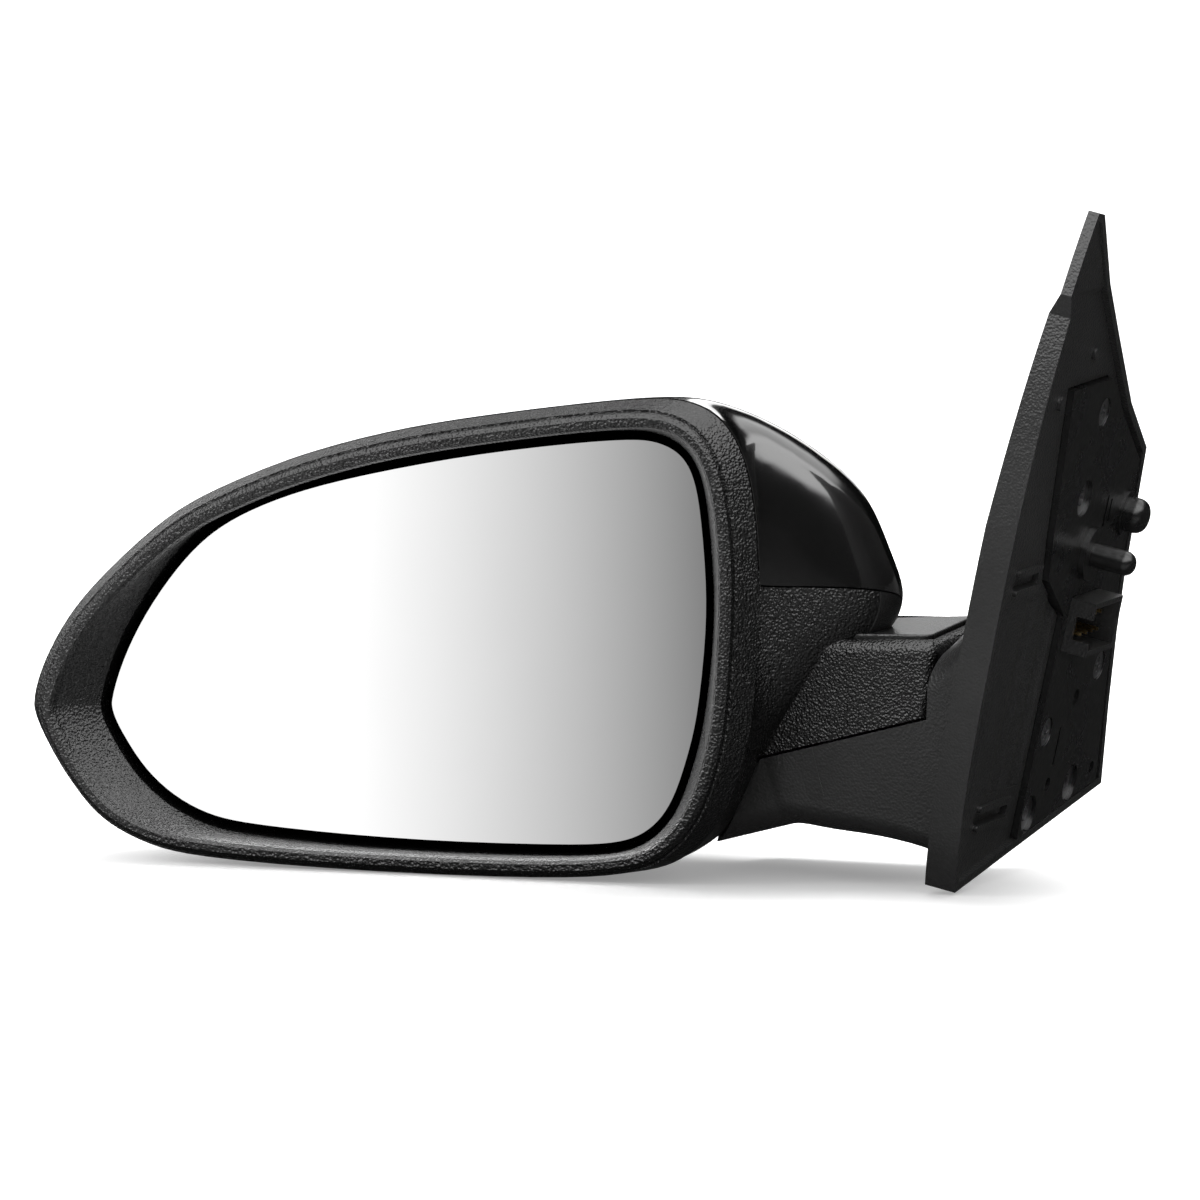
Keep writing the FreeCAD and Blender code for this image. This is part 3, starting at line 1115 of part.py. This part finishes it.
def build_glass():
    back = GLASS_RECESS + GLASS_THICKNESS
    pad_back = back + HEATER
    plate_back = pad_back + HOLDER
    keep("mirror_glass", glass_plate(0, GLASS_RECESS, back))
    keep("heater_pad", glass_plate(2 * HOLDER_INSET, back, pad_back))

    ring = behind((0, 0), RING_OUTER, GIMBAL_DEPTH - RING_HEIGHT / 2, GIMBAL_DEPTH + RING_HEIGHT / 2)
    ring = ring.cut(behind((0, 0), RING_INNER, 0, 2 * GIMBAL_DEPTH))
    pin_in, pin_out = GIMBAL_POST_RADIUS - 2.5, HOLDER_BOSS_OUTER - 1.0
    middle = (RING_INNER + RING_OUTER) / 2
    pins = []
    for way in (-1, 1):
        low, high = sorted((way * pin_in, way * middle))
        pins.append(across(0, GIMBAL_PIN, low, high, "z", GIMBAL_DEPTH))
        low, high = sorted((way * middle, way * pin_out))
        pins.append(across(0, GIMBAL_PIN, low, high, "x", GIMBAL_DEPTH))
    keep("gimbal_ring", ring.fuse(pins))

    boss_end = GIMBAL_DEPTH + RING_HEIGHT / 2 + 0.5
    socket = BALL_RADIUS + SOCKET_GAP + SOCKET_WALL
    holder = glass_plate(HOLDER_INSET, pad_back, plate_back).fuse(
        [behind((0, 0), HOLDER_BOSS_OUTER, pad_back, boss_end)]
        + [behind(s, socket, pad_back, GIMBAL_DEPTH + SOCKET_REACH) for s in jack_spots().values()])
    cuts = [behind((0, 0), HOLDER_BOSS_INNER, pad_back - 1, boss_end + 1),
            across(0, GIMBAL_PIN + RUNNING_GAP, -20, 20, "x", GIMBAL_DEPTH)]
    for spot in jack_spots().values():
        centre = V(GIMBAL.x + spot[0], GIMBAL.y, GIMBAL.z + spot[1])
        cuts.append(Part.makeSphere(BALL_RADIUS + SOCKET_GAP, centre))
        cuts.append(behind(spot, SOCKET_MOUTH, GIMBAL_DEPTH, GIMBAL_DEPTH + SOCKET_REACH + 1))
    terminals = []
    for x, z in TERMINAL_SPOTS:
        at = (GIMBAL.x + x, GIMBAL.z + z)
        cuts.append(block(at[0] - 2.2, at[0] + 2.2, RIM_Y + pad_back - 1, RIM_Y + plate_back + 1,
                          at[1] - 0.9, at[1] + 0.9))
        terminals.append(block(at[0] - 1.6, at[0] + 1.6, RIM_Y + pad_back,
                               RIM_Y + pad_back + TERMINAL_LENGTH, at[1] - 0.4, at[1] + 0.4))
    keep("glass_holder", largest(cut_all(holder, cuts)))
    keep("heater_terminals", terminals)


def main():
    build_head_shells()
    build_head_frame()
    build_pivot()
    build_base_cover()
    build_bracket()
    build_connector()
    build_actuator()
    build_glass()
    os.makedirs("parts", exist_ok=True)
    for name, solids in NODES.items():
        Part.makeCompound(solids).exportStep("parts/%s.step" % name)


main()
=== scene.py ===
"""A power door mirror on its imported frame: materials, studio and the photograph's camera."""
import json
import math

import bpy
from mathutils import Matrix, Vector


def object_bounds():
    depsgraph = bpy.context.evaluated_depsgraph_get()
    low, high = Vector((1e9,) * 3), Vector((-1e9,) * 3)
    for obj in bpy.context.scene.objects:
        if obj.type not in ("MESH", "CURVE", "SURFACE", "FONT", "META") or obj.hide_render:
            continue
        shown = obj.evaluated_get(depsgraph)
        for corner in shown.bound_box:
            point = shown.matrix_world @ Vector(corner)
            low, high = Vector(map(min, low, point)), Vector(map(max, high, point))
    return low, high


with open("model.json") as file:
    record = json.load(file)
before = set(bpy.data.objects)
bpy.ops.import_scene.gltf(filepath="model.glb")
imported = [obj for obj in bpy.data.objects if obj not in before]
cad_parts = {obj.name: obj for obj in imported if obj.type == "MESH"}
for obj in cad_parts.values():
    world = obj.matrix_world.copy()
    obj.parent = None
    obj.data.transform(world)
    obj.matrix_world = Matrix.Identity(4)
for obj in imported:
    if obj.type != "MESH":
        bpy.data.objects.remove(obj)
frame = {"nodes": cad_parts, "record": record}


def save_size():
    """Updates the view layer."""
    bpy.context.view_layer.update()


save_size()

# ---------------------------------------------------------------- view and stage sizes, metres
VIEW_AZIMUTH = 20.0
VIEW_ELEVATION = 7.0
VIEW_CENTRE = Vector((-0.1128, -0.0855, 0.0277))
VIEW_WIDTH = 0.348
VIEW_DISTANCE = 14.0
SENSOR = 36.0
FLOOR_RADIUS = 6.0
FLOOR_GAP = 0.0002
PAINTED_SWEEP_LEFT = -0.1695        # painted reflection: a grey sweep that the floor emits for glossy rays, seen in the glass, from its white to its dark end
PAINTED_SWEEP_RIGHT = -0.0605
PAINTED_CARD_NEAR = (-0.02, 0.06)   # painted reflection: a grey card that the floor emits right of the sweep: where it fades in, and out
PAINTED_CARD_FAR = (0.42, 0.55)
PAINTED_REFLECTION_BACK = (-0.07, -0.10)  # the painted sweep and card lie in front of the glass only
SHADOW_X = -0.12            # round here the floor's emission for the camera is dimmed, a painted shadow patch; farther off it is white
SHADOW_Y = -0.08
SHADOW_EDGE = (0.004, 0.02)     # squared distances between which the white comes in
SHADOW_SHARE = 0.5          # the painted shadow patch is longer across than deep

# ---------------------------------------------------------------- lamps: name, place, size, power
LAMPS = [
    ("overhead", (-0.25, 0.35, 1.3), (1.4, 0.5), 20.0),
    ("left", (-1.3, -0.9, 0.7), (0.5, 0.9), 6.0),
    ("right", (1.2, -1.1, 0.6), (0.5, 0.9), 2.5),
]
LAMPS_IN_GLOSS = ["left"]   # the others are not seen in glossy surfaces

# ---------------------------------------------------------------- what gloss sees round the object
DARK_BEHIND = 0.003
DIM_FRONT = 0.05
PALE_LEFT = 0.25
BOX_ABOVE = 2.6
BOX_FRONT = 4.5
STRIP_BEHIND = 1.8
PEBBLE_HEIGHT = 0.0005


# ---------------------------------------------------------------- shader sums
class Wire:
    """A shader socket that can be used in sums."""

    def __init__(self, look, socket):
        self.look = look
        self.socket = socket

    def sum(self, operation, other):
        return self.look.out("ShaderNodeMath", 0, {"operation": operation}, {0: self, 1: other})

    def __add__(self, other):
        return self.sum("ADD", other)

    def __sub__(self, other):
        return self.sum("SUBTRACT", other)

    def __mul__(self, other):
        return self.sum("MULTIPLY", other)

    def __rsub__(self, other):
        return (self * -1.0) + other

    __radd__ = __add__
    __rmul__ = __mul__

    def ramp(self, low, high):
        """0 at low, 1 at high, smooth between."""
        return self.look.out("ShaderNodeMapRange", "Result", {"interpolation_type": "SMOOTHSTEP"},
                             {"Value": self, "From Min": low, "From Max": high})

    def fade(self, low, high, first, last):
        """A straight run from first at low to last at high."""
        return self.look.out("ShaderNodeMapRange", "Result", None,
                             {"Value": self, "From Min": low, "From Max": high,
                              "To Min": first, "To Max": last})


class Look:
    """A node tree with short ways to add nodes."""

    def __init__(self, tree):
        self.tree = tree
        tree.nodes.clear()

    def node(self, kind, settings=None, values=None):
        made = self.tree.nodes.new(kind)
        for name, value in (settings or {}).items():
            setattr(made, name, value)
        for key, value in (values or {}).items():
            if isinstance(value, Wire):
                self.tree.links.new(value.socket, made.inputs[key])
            else:
                made.inputs[key].default_value = value
        return made

    def out(self, kind, name, settings=None, values=None):
        return Wire(self, self.node(kind, settings, values).outputs[name])

    def place(self):
        return self.out("ShaderNodeTexCoord", "Object")

    def noise(self, scale, detail=2.0, where=None):
        return self.out("ShaderNodeTexNoise", "Fac", None,
                        {"Vector": where or self.place(), "Scale": scale, "Detail": detail})

    def cells(self, scale):
        return self.out("ShaderNodeTexVoronoi", "Distance", {"feature": "SMOOTH_F1"},
                        {"Vector": self.place(), "Scale": scale, "Smoothness": 0.6})

    def blend(self, share, dark, light):
        """The colour dark where share is 0 and light where it is 1."""
        return self.out("ShaderNodeMix", 2, {"data_type": "RGBA"}, {0: share, 6: dark, 7: light})

    def bump(self, height, strength, distance):
        return self.out("ShaderNodeBump", "Normal", None,
                        {"Height": height, "Strength": strength, "Distance": distance})


def grey(level):
    return (level, level, level, 1.0)


def surface(name, build):
    """A material whose Principled shader gets its sockets from build(look)."""
    material = bpy.data.materials.new(name)
    material.use_nodes = True
    look = Look(material.node_tree)
    shader = look.out("ShaderNodeBsdfPrincipled", 0, None, build(look))
    look.node("ShaderNodeOutputMaterial", None, {"Surface": shader})
    return material


def moulded(level, rough, grain, depth, patch):
    """Textured dark plastic: its tone, roughness, cells per metre, bump strength and patch size."""
    def build(look):
        pebbles = look.cells(grain) + 0.5 * look.noise(grain * 1.7, 1.0)
        wear = look.noise(patch, 4.0)
        tone = look.blend(wear.ramp(0.35, 0.75), grey(level), grey(level * 1.25))
        return {"Base Color": tone, "Roughness": rough - 0.05 + wear * 0.1,
                "Specular IOR Level": 0.45, "Normal": look.bump(pebbles, depth, PEBBLE_HEIGHT)}
    return build


def polished(look):
    """The cap's black lacquer, with a little orange peel."""
    dust = look.noise(90.0, 5.0)
    peel = look.noise(45.0, 1.0)
    return {"Base Color": look.blend(dust.ramp(0.4, 0.8), grey(0.0035), grey(0.0045)),
            "Roughness": 0.16 + dust * 0.05, "Coat Weight": 1.0, "Coat Roughness": 0.02,
            "Specular IOR Level": 0.5, "Normal": look.bump(peel, 0.03, 0.0004)}


def silvered(look):
    """The glass, silvered on its face."""
    haze = look.noise(25.0, 4.0)
    return {"Base Color": look.blend(haze.ramp(0.3, 0.8), grey(0.98), grey(0.965)),
            "Metallic": 1.0, "Roughness": haze * 0.012}


def metal(colour, rough, scale, streak=1.0):
    def build(look):
        where = look.out("ShaderNodeMapping", "Vector", None,
                         {"Vector": look.place(), "Scale": (1.0, 1.0, streak)})
        brushed = look.noise(scale, 3.0, where)
        dull = tuple(0.75 * c for c in colour) + (1,)
        return {"Base Color": look.blend(brushed.ramp(0.3, 0.7), dull, colour + (1,)), "Metallic": 1.0,
                "Roughness": rough - 0.08 + brushed * 0.16,
                "Normal": look.bump(brushed, 0.08, 0.0001)}
    return build


def plastic(colour, rough, scale=300.0):
    def build(look):
        grain = look.noise(scale, 3.0)
        dull = tuple(0.82 * c for c in colour) + (1,)
        return {"Base Color": look.blend(grain.ramp(0.3, 0.75), dull, colour + (1,)),
                "Roughness": rough - 0.05 + grain * 0.1,
                "Normal": look.bump(look.noise(scale * 4, 1.0), 0.05, 0.0001)}
    return build


def taped(look):
    """A wire bundle wound with cloth tape."""
    wraps = look.out("ShaderNodeTexWave", "Fac", {"wave_type": "BANDS", "bands_direction": "Z"},
                     {"Vector": look.place(), "Scale": 130.0, "Distortion": 1.5})
    return {"Base Color": look.blend(wraps, grey(0.012), grey(0.03)), "Roughness": 0.62 + wraps * 0.1,
            "Normal": look.bump(wraps, 0.3, 0.0003)}


LOOKS = {
    "housing": moulded(0.005, 0.27, 1300.0, 0.75, 30.0),
    "lower_cover": moulded(0.014, 0.30, 1700.0, 0.3, 30.0),
    "base_plastic": moulded(0.018, 0.36, 1300.0, 0.3, 24.0),
    "casting": moulded(0.008, 0.28, 500.0, 0.12, 60.0),
    "cap": polished,
    "mirror_face": silvered,
    "heater_film": plastic((0.42, 0.2, 0.06), 0.45, 200.0),
    "holder_plastic": moulded(0.014, 0.55, 1200.0, 0.1, 40.0),
    "pale_plastic": plastic((0.62, 0.61, 0.56), 0.4),
    "grey_plastic": moulded(0.05, 0.5, 1200.0, 0.1, 40.0),
    "bush_plastic": plastic((0.2, 0.19, 0.17), 0.45),
    "frame_metal": metal((0.5, 0.51, 0.53), 0.42, 400.0),
    "steel": metal((0.55, 0.55, 0.56), 0.34, 500.0, 0.2),
    "spring_steel": metal((0.22, 0.22, 0.24), 0.36, 500.0),
    "brass": metal((0.65, 0.48, 0.22), 0.3, 400.0),
    "wire_sleeve": taped,
}


def dress():
    """Each CAD node gets the look of its material slot."""
    made = {slot: surface(slot, build) for slot, build in LOOKS.items()}
    for entry in frame["record"]["subparts"]:
        node = frame["nodes"][entry["node"]]
        node.data.materials.clear()
        node.data.materials.append(made[entry["material_slot"]])


# ---------------------------------------------------------------- studio
def add_lamp(name, place, size, power, aim):
    data = bpy.data.lights.new(name, "AREA")
    data.shape = "RECTANGLE"
    data.size, data.size_y = size
    data.energy = power
    lamp = bpy.data.objects.new(name, data)
    lamp.location = place
    lamp.visible_glossy = name in LAMPS_IN_GLOSS
    lamp.rotation_mode = "QUATERNION"
    lamp.rotation_quaternion = (Vector(aim) - Vector(place)).to_track_quat("-Z", "Y")
    bpy.context.scene.collection.objects.link(lamp)


def rays_seen(look):
    """Whether the camera sees a point straight, and whether a glossy surface sees it."""
    rays = look.node("ShaderNodeLightPath")
    return Wire(look, rays.outputs["Is Camera Ray"]), Wire(look, rays.outputs["Is Glossy Ray"])


def floor_look(look):
    """Pale floor. For camera rays an emission is added, lowered round the object to paint a darker
    shadow patch; glossy rays see a painted reflection, a grey gradient and grey bands that the floor
    emits.
    """
    spot = look.node("ShaderNodeSeparateXYZ", None, {0: look.place()})
    x, y = Wire(look, spot.outputs[0]), Wire(look, spot.outputs[1])
    seen, glossy = rays_seen(look)
    azimuth = math.radians(VIEW_AZIMUTH)
    across = math.cos(azimuth) * x - math.sin(azimuth) * y
    # painted reflection: the floor's grey sweep and card are emitted for glossy rays only, painting
    # the gradient the glass mirrors
    painted_sweep_share = across.fade(PAINTED_SWEEP_LEFT, PAINTED_SWEEP_RIGHT, 1.0, 0.0)
    painted_sweep_tone = look.blend(painted_sweep_share, grey(0.20), grey(1.05))
    painted_sweep_tone = look.blend(across.ramp(*PAINTED_CARD_NEAR), painted_sweep_tone, grey(0.6))
    painted_sweep_tone = look.blend(across.ramp(*PAINTED_CARD_FAR), painted_sweep_tone, grey(0.08))
    painted_reflection = look.blend(y.ramp(*PAINTED_REFLECTION_BACK), grey(0.03), painted_sweep_tone)
    grain = look.noise(60.0, 3.0)
    plain = look.out("ShaderNodeBsdfDiffuse", 0, None,
                     {"Color": look.blend(grain, grey(0.80), grey(0.84))})
    # painted shadow: the floor's white emission for the camera drops to grey 0.25 round SHADOW_X,
    # SHADOW_Y, a darker patch painted under the object
    off_x, off_y = x - SHADOW_X, y - SHADOW_Y
    outside_painted_shadow = (off_x * off_x * SHADOW_SHARE + off_y * off_y).ramp(*SHADOW_EDGE)
    white_with_painted_shadow = look.out("ShaderNodeEmission", 0, None,
                     {"Color": look.blend(outside_painted_shadow, grey(0.25), grey(1.0)), "Strength": 1.0})
    # the painted reflection is emitted only for glossy rays
    painted_reflection_glow = look.out("ShaderNodeEmission", 0, None, {"Color": painted_reflection, "Strength": 1.0})
    lifted = look.out("ShaderNodeAddShader", 0, None, {0: plain, 1: white_with_painted_shadow})
    for_camera = look.out("ShaderNodeMixShader", 0, None, {0: seen, 1: plain, 2: lifted})
    final = look.out("ShaderNodeMixShader", 0, None, {0: glossy, 1: for_camera, 2: painted_reflection_glow})
    look.node("ShaderNodeOutputMaterial", None, {"Surface": final})


def world_look(look):
    """White for the camera, and an even grey light; gloss sees soft boxes and a dim room."""
    way = look.node("ShaderNodeSeparateXYZ", None, {0: look.out("ShaderNodeTexCoord", "Generated")})
    x, y, up = (Wire(look, way.outputs[i]) for i in range(3))
    azimuth = math.radians(VIEW_AZIMUTH)
    side = math.cos(azimuth) * x + math.sin(azimuth) * y
    ahead = math.cos(azimuth) * y - math.sin(azimuth) * x
    seen, glossy = rays_seen(look)
    left = side.ramp(-0.35, -0.75) * ahead.ramp(0.6, 0.3)
    above = up.ramp(0.58, 0.68)
    front = up.ramp(0.30, 0.45) * ahead.ramp(0.0, -0.2)
    strip = up.ramp(0.07, 0.10) * up.ramp(0.32, 0.27) * side.ramp(0.33, 0.29) * ahead.ramp(0.2, 0.4)
    gloss = look.blend(ahead.ramp(0.45, 0.38), grey(DARK_BEHIND), grey(DIM_FRONT))
    for share, level in ((left, PALE_LEFT), (above, BOX_ABOVE), (front, BOX_FRONT),
                         (strip, STRIP_BEHIND)):
        gloss = look.blend(share, gloss, grey(level))
    colour = look.blend(glossy, grey(0.5), gloss)
    colour = look.blend(seen, colour, grey(1.0))
    shader = look.out("ShaderNodeBackground", 0, None, {"Color": colour, "Strength": 1.0})
    look.node("ShaderNodeOutputWorld", None, {"Surface": shader})


def add_studio():
    low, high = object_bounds()
    mesh = bpy.data.meshes.new("floor")
    floor = bpy.data.objects.new("floor", mesh)
    level = low.z - FLOOR_GAP
    side = FLOOR_RADIUS
    corners = [(-side, -side, level), (side, -side, level),
               (side, side, level), (-side, side, level)]
    mesh.from_pydata(corners, [], [(0, 1, 2, 3)])
    bpy.context.scene.collection.objects.link(floor)
    material = bpy.data.materials.new("floor")
    material.use_nodes = True
    floor_look(Look(material.node_tree))
    mesh.materials.append(material)

    world = bpy.data.worlds.new("studio")
    world.use_nodes = True
    world_look(Look(world.node_tree))
    bpy.context.scene.world = world

    for lamp in LAMPS:
        add_lamp(*lamp, aim=(low + high) / 2)


def add_camera():
    azimuth, elevation = math.radians(VIEW_AZIMUTH), math.radians(VIEW_ELEVATION)
    back = Vector((math.sin(azimuth) * math.cos(elevation),
                   -math.cos(azimuth) * math.cos(elevation), math.sin(elevation)))
    data = bpy.data.cameras.new("camera")
    data.sensor_width = SENSOR
    data.lens = SENSOR * VIEW_DISTANCE / VIEW_WIDTH
    data.clip_end = 2 * VIEW_DISTANCE
    camera = bpy.data.objects.new("camera", data)
    camera.location = VIEW_CENTRE + back * VIEW_DISTANCE
    camera.rotation_mode = "QUATERNION"
    camera.rotation_quaternion = (-back).to_track_quat("-Z", "Y")
    bpy.context.scene.collection.objects.link(camera)
    bpy.context.scene.camera = camera


dress()
add_studio()
add_camera()
bpy.context.scene.view_settings.view_transform = "Standard"
save_size()
